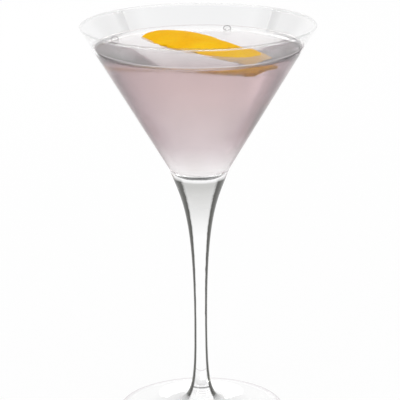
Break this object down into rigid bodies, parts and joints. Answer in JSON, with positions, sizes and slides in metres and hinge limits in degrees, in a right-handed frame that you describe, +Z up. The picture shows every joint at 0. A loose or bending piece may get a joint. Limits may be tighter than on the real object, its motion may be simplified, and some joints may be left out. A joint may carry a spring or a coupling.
{
  "type": "eden cocktail",
  "caption": "Cocktail in a stemmed V-shaped glass: pale pink cloudy drink filled near the rim, with a strip of yellow citrus peel afloat.",
  "frame": {"origin": "centre of the foot's underside, on the table", "axes": "+Z up along the glass's axis, -Y towards the viewer, +X to the viewer's right"},
  "size_m": [0.105, 0.105, 0.1814],
  "materials": {
    "glass": "clear, fire-polished",
    "drink": "pale pink cloudy liquid",
    "citrus_rind": "waxy pored rind over pale pith"
  },
  "bodies": {
    "root": {"glass": "glass", "drink": "drink", "citrus_twist": "citrus_rind"}
  },
  "joints": []
}
